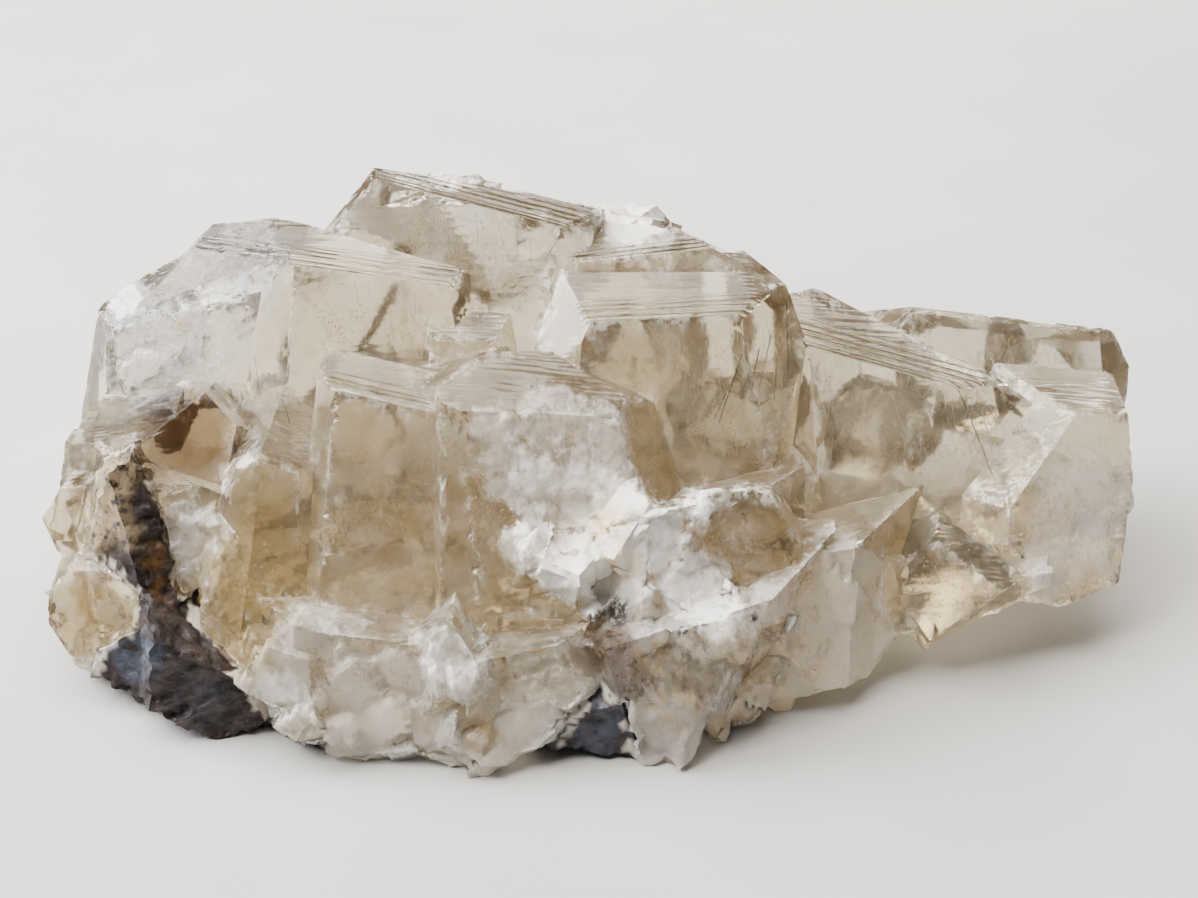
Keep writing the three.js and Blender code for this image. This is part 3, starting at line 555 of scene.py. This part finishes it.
# %% The quartz material
QUARTZ_INDEX = 1.544
clear_tint = honey.tint((0.97, 0.965, 0.95, 1), (0.95, 0.86, 0.64, 1))
clear_tint = q.lit("smoke").tint(clear_tint, (0.28, 0.20, 0.13, 1))
clear_quartz = q.node("ShaderNodeBsdfPrincipled", sockets={
    "Base Color": clear_tint, "Roughness": 0.08 + 0.25 * milky_mask, "IOR": QUARTZ_INDEX,
    "Transmission Weight": 1.0, "Normal": quartz_bump,
}, out="BSDF")
body_tint = patches.step(0.35, 0.65).tint((0.70, 0.63, 0.50, 1), (0.80, 0.74, 0.63, 1))
white_tint = patches.step(0.35, 0.65).tint((0.86, 0.81, 0.77, 1), (0.92, 0.88, 0.80, 1))
milky_tint = milk.step(0.2, 0.6).tint(body_tint, white_tint)
milky_tint = q.lit("frost").tint(milky_tint, (0.78, 0.80, 0.84, 1))
milky_tint = honey.tint(milky_tint, (0.82, 0.70, 0.46, 1))
milky_tint = q.lit("smoke").tint(milky_tint, (0.20, 0.14, 0.10, 1))
milky_tint = crust.tint(milky_tint, (0.90, 0.84, 0.70, 1))
milky_tint = (q.lit("iron") * feathers.step(0.38, 0.6)).tint(milky_tint, (0.66, 0.45, 0.17, 1))
milky_quartz = q.node("ShaderNodeBsdfPrincipled", sockets={
    "Base Color": milky_tint, "Roughness": 0.05 + 0.4 * milk, "IOR": QUARTZ_INDEX,
    "Transmission Weight": 0.55, "Normal": quartz_bump,
}, out="BSDF")
quartz_surface = q.node("ShaderNodeMixShader", sockets={0: milky_mask, 1: clear_quartz, 2: milky_quartz})
rust = q.lit("iron") * feathers.step(0.36, 0.58)
crust_tint = rust.tint((0.90, 0.875, 0.83, 1), (0.78, 0.61, 0.32, 1))
crust_tint = q.lit("smoke").tint(crust_tint, (0.42, 0.31, 0.24, 1))
crust_tint = dirt.tint(crust_tint, (0.06, 0.05, 0.055, 1))
sugar_crust = q.node("ShaderNodeBsdfPrincipled", sockets={
    "Base Color": crust_tint, "Roughness": 0.45, "IOR": QUARTZ_INDEX, "Normal": quartz_bump,
}, out="BSDF")
quartz_surface = q.node("ShaderNodeMixShader", sockets={0: white_crust_and_edge_highlight + dirt, 1: quartz_surface, 2: sugar_crust})
smoke_loss = q.node(
    "ShaderNodeVolumeAbsorption", sockets={"Color": (0.755, 0.685, 0.53, 1), "Density": 46.0},
)
end_finish(q, quartz_surface, smoke_loss)

# %% [markdown]
# ## Host rock
# The scrap that the crystals grew on is dark, platy and iron-rich, with a dull metal sheen on its flat
# sides, a tan crust at its top and blue-grey patches low down. Its copy gets the same broken relief as the
# milky quartz, with flat plates along one direction, because this rock splits into sheets.

# %% Host rock relief
ROCK_DETAIL = 1.2
PLATE_SIZE = 4.0
PLATE_FLATNESS = 2.2
SMALL_PLATE = 1.8
CONTACT_GAP = 1.5
rock = copy_of_solid("host_rock")
refine(rock, ROCK_DETAIL, 6)
rock.normal_update()
# u, v, radius, strength
TAN_SPOTS = [
    (-75.0, -9.5, 5.0, 1.0), (-72.5, -4.0, 4.0, 0.9), (-76.5, -14.0, 3.5, 0.8), (-71.0, -12.5, 3.0, 0.6),
]
AMBER_SPOTS = [(-67.0, -16.0, 2.6, 0.8), (-65.6, -21.0, 2.2, 0.6)]
BLUE_SPOTS = [(-69.0, -31.0, 4.5, 0.9), (-1.0, -42.0, 7.0, 0.7), (-60.0, -37.5, 4.0, 0.4)]


def touches_quartz(place, facing):
    """True where the rock's face lies against the quartz."""
    _, quartz_facing, _, far = quartz_skin.find_nearest(place)
    return far < CONTACT_GAP and facing.dot(quartz_facing) < -0.3


def rock_values(place, facing):
    """The values that the rock's material needs at a place with that facing."""
    u, v, near = view_of(place)
    return {
        "painted_light_contact": 1.0 if touches_quartz(place, facing) else 0.0,
        "tan": spots_at(TAN_SPOTS, u, v, near),
        "amber": spots_at(AMBER_SPOTS, u, v, near),
        "blue": spots_at(BLUE_SPOTS, u, v, near),
    }


rock_points = [rock_values(point.co, point.normal) for point in rock.verts]
for point in rock.verts:
    plates = facet_step(Vector((point.co.x, point.co.y, point.co.z * PLATE_FLATNESS)), PLATE_SIZE)
    out = 0.45 * plates + 0.5 * facet_step(point.co, SMALL_PLATE) + 0.2 * noise.noise(point.co * 1.4) - 0.1
    point.co += point.normal * out
    point.co.z = max(point.co.z, 0.0)
rock_numbers = {key: [values[key] for values in rock_points] for key in rock_points[0]}
rock_finish = bpy.data.materials.new("host_rock_dark_plates")
rock_piece = finish_piece(rock, "host_rock_scrap", rock_finish, rock_numbers)
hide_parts("host_rock")

# %% [markdown]
# ## Host rock finish
# One pattern of flat plates sets the rock's colour, its dull metal sheen and its bump, so all three agree.
# Where the rock lies against the quartz its dark face is painted pale, a painted light for the crystals over
# it:
# the light that falls in from above would otherwise meet black stone, and they would look like smoked glass.

# %% The host rock material
r = start_finish(rock_finish)
plate_pattern = r.cloud(3.2, 5.0, 0.62, {"Scale": (1.0, 1.0, 2.2)})
rock_colour = plate_pattern.step(0.35, 0.65).tint((0.014, 0.011, 0.011, 1), (0.085, 0.064, 0.062, 1))
blue_patch = r.lit("blue") * r.cloud(2.0, 3.0).step(0.3, 0.6)
rock_colour = blue_patch.tint(rock_colour, (0.10, 0.115, 0.15, 1))
amber_patch = r.lit("amber") * r.cloud(2.0, 4.0, 0.6).step(0.3, 0.6)
rock_colour = amber_patch.tint(rock_colour, (0.22, 0.125, 0.045, 1))
tan_patch = r.lit("tan") * r.cloud(1.6, 5.0, 0.65).step(0.32, 0.55)
rock_colour = tan_patch.tint(rock_colour, (0.43, 0.34, 0.22, 1))
# Painted light: the dark rock is painted pale where it lies against the quartz
rock_colour = r.lit("painted_light_contact").tint(rock_colour, (0.66, 0.61, 0.53, 1))
sheen = plate_pattern.step(0.45, 0.7) * (1 - r.lit("tan")) * (1 - r.lit("painted_light_contact"))
rock_height = plate_pattern * 1.0 + r.cloud(0.6, 3.0, 0.6) * 0.4
rock_bump = r.node(
    "ShaderNodeBump", sockets={"Strength": 0.8, "Distance": 0.4 * MM, "Height": rock_height}, out="Normal",
)
rock_surface = r.node("ShaderNodeBsdfPrincipled", sockets={
    "Base Color": rock_colour, "Roughness": 0.5 - 0.28 * sheen, "Metallic": 0.5 * sheen, "Normal": rock_bump,
}, out="BSDF")
end_finish(r, rock_surface)

# %% [markdown]
# ## Needles and hairs inside the crystals
# Fine mineral needles are caught inside the clear crystals. Some are dark and short, others are pale gold
# hairs, and most lie in a few shared directions. They could be lines in a texture, but a texture sits on the
# surface and would not sink with the refraction. So each is a thin four-sided rod, laid along the line of
# sight a few millimetres behind the face that shows it.

# %% Needles
HAIR_SEED = 11
sight_seed = random.Random(HAIR_SEED)
LONGEST_NEEDLE = 25
HAIR_MARGIN = 0.3


def behind_face(u, v, depth):
    """The place that lies that deep behind the face which shows at u and v, or None."""
    sight = (place_seen(u, v, 0) - EYE).normalized()
    hit = quartz_skin.ray_cast(EYE, sight)[0]
    return None if hit is None else hit + sight * depth


def is_inside(place, margin):
    """True where a place lies inside the quartz and not closer to its skin than the margin."""
    spot, normal, _, far = quartz_skin.find_nearest(place)
    return (place - spot).dot(normal) < 0 and far > margin


def add_rod(work, start, end, radius):
    """A thin four-sided rod from start to end."""
    run = end - start
    place = Matrix.Translation((start + end) / 2) @ run.to_track_quat("Z", "Y").to_matrix().to_4x4()
    bmesh.ops.create_cone(
        work, cap_ends=True, cap_tris=True, segments=4, radius1=radius, radius2=radius * 0.6,
        depth=run.length, matrix=place,
    )


# u and v of both ends, depth behind the face, radius
DARK_NEEDLES = [
    (21.3, 14.1, 17.8, 3.6, 2.0, 0.11), (23.7, 14.8, 22.9, 11.1, 1.5, 0.12),
    (27.9, 22.3, 28.2, 11.1, 1.0, 0.10), (25.2, 17.0, 23.4, 9.0, 3.0, 0.09),
    (-51.4, 14.1, -50.9, 7.3, 1.2, 0.09), (-49.2, 11.4, -46.5, 3.6, 1.2, 0.09),
    (53.4, 9.6, 55.4, 5.1, 1.5, 0.09), (55.6, 4.3, 59.4, -4.6, 2.0, 0.09),
    (-5.8, 32.1, -8.1, 28.1, 1.2, 0.10), (19.0, 8.4, 17.2, 4.6, 2.4, 0.09),
    (26.2, 12.0, 25.8, 7.0, 2.0, 0.08),
]
PALE_NEEDLES = [
    (13.3, 13.3, 12.4, 8.1, 1.5, 0.10), (16.0, 16.4, 15.4, 10.0, 2.0, 0.08),
    (9.0, 12.0, 10.6, 6.8, 2.5, 0.07), (-28.0, 20.0, -25.6, 16.0, 1.5, 0.08),
    (44.0, 8.0, 46.0, 2.0, 2.0, 0.08),
]
# middle u, v, spread in u, spread in v, number
HAIR_FIELDS = [
    (20.0, 8.0, 7.0, 9.0, 90), (8.0, 8.0, 7.0, 8.0, 40), (-20.0, 30.0, 12.0, 5.0, 50),
    (-34.0, 15.0, 9.0, 8.0, 45), (42.0, 4.0, 9.0, 8.0, 60), (58.0, 3.0, 7.0, 6.0, 40),
    (-31.0, -8.0, 9.0, 10.0, 55), (62.0, 12.0, 9.0, 4.0, 25),
]


def lay_needles(needles):
    """Rods for a list of needles, as one bmesh."""
    work = bmesh.new()
    for u0, v0, u1, v1, depth, radius in needles:
        start, end = behind_face(u0, v0, depth), behind_face(u1, v1, depth)
        if start and end and (end - start).length < LONGEST_NEEDLE:
            add_rod(work, start, end, radius)
    return work


def lay_hairs(fields):
    """Fine hairs of random length in each field, most of them steep, as one bmesh."""
    work = bmesh.new()
    for middle_u, middle_v, spread_u, spread_v, number in fields:
        for _ in range(number):
            u = middle_u + spread_u * sight_seed.uniform(-1, 1)
            v = middle_v + spread_v * sight_seed.uniform(-1, 1)
            lean = math.radians(sight_seed.choice((98, 98, 62, 128)) + sight_seed.uniform(-9, 9))
            length, depth = sight_seed.uniform(1.5, 6.0), sight_seed.uniform(0.6, 7.0)
            start = behind_face(u, v, depth)
            if start is None:
                continue
            way = math.cos(lean) * VIEW_RIGHT + math.sin(lean) * VIEW_UP
            way = way + sight_seed.uniform(-0.5, 0.5) * VIEW_NEAR
            end = start + way.normalized() * length
            if is_inside(start, HAIR_MARGIN) and is_inside(end, HAIR_MARGIN):
                add_rod(work, start, end, sight_seed.uniform(0.025, 0.05))
    return work


dark_finish = bpy.data.materials.new("dark_needles")
pale_finish = bpy.data.materials.new("pale_hairs")
dark_piece = finish_piece(lay_needles(DARK_NEEDLES), "dark_needles", dark_finish)
hair_piece = finish_piece(lay_hairs(HAIR_FIELDS), "gold_hairs", pale_finish)
pale_piece = finish_piece(lay_needles(PALE_NEEDLES), "pale_needles", pale_finish)

# %% [markdown]
# ## Flakes
# Bright specks glint inside the clear stone, where a tiny crack or bubble catches the light. Each could be a
# ball, but a ball glints the same from every side. So each is a rod that is far wider than it is long: a thin
# four-sided plate, turned by the same seeded numbers as the hairs.

# %% Flakes
FLAKES_FOR_EACH = 2
FLAKE_HALF = 0.03
INNER_MARGIN = 0.35
# middle u, v, spread in u, spread in v, number
FLAKE_FIELDS = HAIR_FIELDS + [
    (-63.0, 13.0, 9.0, 9.0, 70), (-51.0, -18.0, 4.0, 11.0, 40), (-6.0, -4.0, 9.0, 9.0, 160),
    (52.0, -20.0, 5.0, 5.0, 25), (70.0, -6.0, 6.0, 8.0, 40), (30.0, -26.0, 9.0, 8.0, 50),
]
flakes = bmesh.new()
for middle_u, middle_v, spread_u, spread_v, number in FLAKE_FIELDS:
    for _ in range(number * FLAKES_FOR_EACH):
        u = middle_u + spread_u * sight_seed.uniform(-1, 1)
        v = middle_v + spread_v * sight_seed.uniform(-1, 1)
        middle = behind_face(u, v, sight_seed.uniform(0.5, 5.0))
        way = Vector([sight_seed.uniform(-1, 1) for _ in range(3)])
        radius = sight_seed.uniform(0.06, 0.2)
        if middle is not None and is_inside(middle, INNER_MARGIN):
            add_rod(flakes, middle - way * FLAKE_HALF, middle + way * FLAKE_HALF, radius)
flake_piece = finish_piece(flakes, "bright_flakes", pale_finish)

# %% [markdown]
# ## Needle finishes
# The dark needles are an opaque, dull mineral, and the hairs and flakes are straw gold to cream. The stone
# around them bends and warms what is seen of them, so a plain surface with a slow change of tint is enough.

# %% Needle materials
for finish, low, high, rough in (
    (dark_finish, (0.02, 0.016, 0.014, 1), (0.07, 0.05, 0.035, 1), 0.4),
    (pale_finish, (0.80, 0.66, 0.42, 1), (0.95, 0.90, 0.78, 1), 0.35),
):
    n = start_finish(finish)
    needle_colour = n.cloud(1.5).step(0.35, 0.65).tint(low, high)
    needle_surface = n.node(
        "ShaderNodeBsdfPrincipled", sockets={"Base Color": needle_colour, "Roughness": rough}, out="BSDF",
    )
    end_finish(n, needle_surface)

# %% [markdown]
# ## Veils
# Healed cracks inside quartz show as thin, speckled sheets that catch the light. Each is a grid that is
# tilted, waved a little and cut to what lies inside the crystal. Its material is white where a fine speckle
# says so and open elsewhere, so the sheet reads as a cloud of tiny bubbles.

# %% Veil sheets
# u, v, depth behind the face, width, height, turn about the sight line, tilt away from the viewer
VEILS = [
    (-29.0, -5.0, 3.0, 24, 9, 38, 35), (-33.0, -10.0, 6.0, 16, 8, 30, 60), (12.0, 3.0, 7.0, 20, 9, -15, 50),
    (22.0, 0.0, 5.0, 12, 10, 20, 45), (-20.0, 28.0, 7.0, 22, 8, -12, 55), (-35.0, 18.0, 5.0, 14, 10, 8, 50),
    (42.0, 2.0, 6.0, 22, 9, -25, 50), (60.0, 4.0, 5.0, 16, 7, -30, 45), (-63.0, 12.0, 4.0, 18, 10, 60, 35),
    (62.0, 12.0, 5.0, 18, 6, -6, 50), (-11.0, -3.0, 2.0, 18, 16, 20, 18), (-6.0, -10.0, 3.0, 18, 14, -30, 25),
    (52.0, -20.0, 3.0, 9, 6, -30, 40), (22.0, -14.0, 4.0, 10, 8, 20, 40), (-51.0, -18.0, 4.0, 6, 16, 5, 30),
    (2.0, 15.0, 8.0, 14, 8, 30, 45), (32.0, 14.0, 6.0, 10, 8, -40, 40), (-12.0, 22.0, 6.0, 12, 10, 35, 50),
]
VEIL_STEPS = (22, 14)
veils = bmesh.new()
for u, v, depth, width, height, turn, tilt in VEILS:
    middle = behind_face(u, v, depth)
    if middle is None:
        continue
    facing = Matrix((VIEW_RIGHT, VIEW_UP, VIEW_NEAR)).transposed().to_4x4()
    lie = Matrix.Rotation(math.radians(turn), 4, "Z") @ Matrix.Rotation(math.radians(tilt), 4, "X")
    size = Matrix.Diagonal((width / 2, height / 2, 1, 1))
    made = bmesh.ops.create_grid(
        veils, x_segments=VEIL_STEPS[0], y_segments=VEIL_STEPS[1], size=1,
        matrix=Matrix.Translation(middle) @ facing @ lie @ size,
    )
    for point in made["verts"]:
        point.co += VIEW_NEAR * (1.1 * noise.noise(point.co * 0.14) + 0.3 * noise.noise(point.co * 0.5))
outside = [point for point in veils.verts if not is_inside(point.co, INNER_MARGIN)]
bmesh.ops.delete(veils, geom=outside, context="VERTS")
veil_finish = bpy.data.materials.new("speckled_veils")
veil_piece = finish_piece(veils, "healed_cracks", veil_finish)

# %% [markdown]
# ## Veil finish
# A veil is not a solid film but a sheet of specks. A fine noise chooses the specks and a coarse one lets them
# fade out in places. Both go to the sheet's opacity, and its colour stays near white.

# %% Veil material
w = start_finish(veil_finish)
speckle = w.cloud(0.45, 3.0, 0.7).step(0.5, 0.68) * w.cloud(3.0, 3.0, 0.6).step(0.42, 0.62)
veil_surface = w.node("ShaderNodeBsdfPrincipled", sockets={
    "Base Color": w.cloud(3.0).step(0.3, 0.7).tint((0.92, 0.88, 0.82, 1), (0.97, 0.95, 0.92, 1)),
    "Roughness": 0.3, "Alpha": speckle * 0.75,
}, out="BSDF")
end_finish(w, veil_surface)

# %% [markdown]
# ## Floor
# The floor is a plain pale sheet a hair's breadth under the specimen, so that the two never share a plane. A
# curved backdrop would hide its far edge, but a flat sheet keeps the light even from every side. Its tone
# changes a little, as paper's does.

# %% Floor
FLOOR_HALF = 2.5
FLOOR_DROP = 0.0001
floor_shape = bmesh.new()
bmesh.ops.create_grid(
    floor_shape, x_segments=1, y_segments=1, size=FLOOR_HALF, matrix=Matrix.Translation((0, 0, -FLOOR_DROP)),
)
floor_mesh = bpy.data.meshes.new("floor")
floor_shape.to_mesh(floor_mesh)
floor_shape.free()
floor_piece = bpy.data.objects.new("floor", floor_mesh)
bpy.context.scene.collection.objects.link(floor_piece)
floor_finish = bpy.data.materials.new("pale_floor")
f = start_finish(floor_finish)
floor_tone = f.cloud(60.0, 2.0).step(0.3, 0.7).tint((0.60, 0.595, 0.58, 1), (0.64, 0.635, 0.62, 1))
floor_surface = f.node(
    "ShaderNodeBsdfPrincipled", sockets={"Base Color": floor_tone, "Roughness": 0.75}, out="BSDF",
)
end_finish(f, floor_surface)
floor_mesh.materials.append(floor_finish)

# %% [markdown]
# ## Light
# Glass shows what stands around it, so the light matters as much as the stone. Large soft panels give the
# broad glow on the crystal tops, a panel behind sends light through the crystals, and a grey surround fills
# the rest. The picture's contrast is raised a step, because so much soft light flattens clear stone.

# %% Light
PANEL_AIM = Vector((0, 0, 0.03))
# name, place, size, watts, colour
PANELS = [
    ("panel_over", (-0.12, 0.18, 0.78), 0.80, 10.0, (1.0, 0.97, 0.93)),
    ("panel_left", (-0.70, 0.15, 0.46), 0.50, 10.0, (0.95, 0.97, 1.0)),
    ("panel_behind", (0.20, 0.80, 0.30), 0.50, 5.0, (1.0, 0.96, 0.9)),
    ("panel_front", (-0.52, -0.26, 0.82), 0.30, 5.0, (1.0, 0.97, 0.93)),
]
for name, place, size, watts, colour in PANELS:
    lamp = bpy.data.lights.new(name, "AREA")
    lamp.shape = "SQUARE"
    lamp.size = size
    lamp.energy = watts
    lamp.color = colour
    panel = bpy.data.objects.new(name, lamp)
    panel.location = place
    panel.rotation_euler = (PANEL_AIM - Vector(place)).to_track_quat("-Z", "Y").to_euler()
    bpy.context.scene.collection.objects.link(panel)
surround = bpy.data.worlds.new("studio_grey")
bpy.context.scene.world = surround
surround.use_nodes = True
glow = surround.node_tree.nodes["Background"].inputs
glow["Color"].default_value = (0.50, 0.51, 0.53, 1)
glow["Strength"].default_value = 0.14
bpy.context.scene.view_settings.look = "AgX - Medium High Contrast"
print(len(PANELS), "light panels")

# %% [markdown]
# ## Camera
# The camera stands at the eye of the front view, so the lists of places and the picture agree. Its lens
# follows from the distance and from the width that the view takes in at the specimen.

# %% Camera
VIEW_WIDTH = 179.7
SENSOR_WIDTH = 36.0
lens = bpy.data.cameras.new("front_view")
lens.sensor_width = SENSOR_WIDTH
lens.lens = SENSOR_WIDTH * VIEW_DISTANCE / VIEW_WIDTH
lens.clip_start = 0.01
camera = bpy.data.objects.new("front_view", lens)
camera.location = EYE * MM
camera.rotation_euler = (-VIEW_NEAR).to_track_quat("-Z", "Y").to_euler()
bpy.context.scene.collection.objects.link(camera)
bpy.context.scene.camera = camera
print("lens", round(lens.lens, 2), "mm")
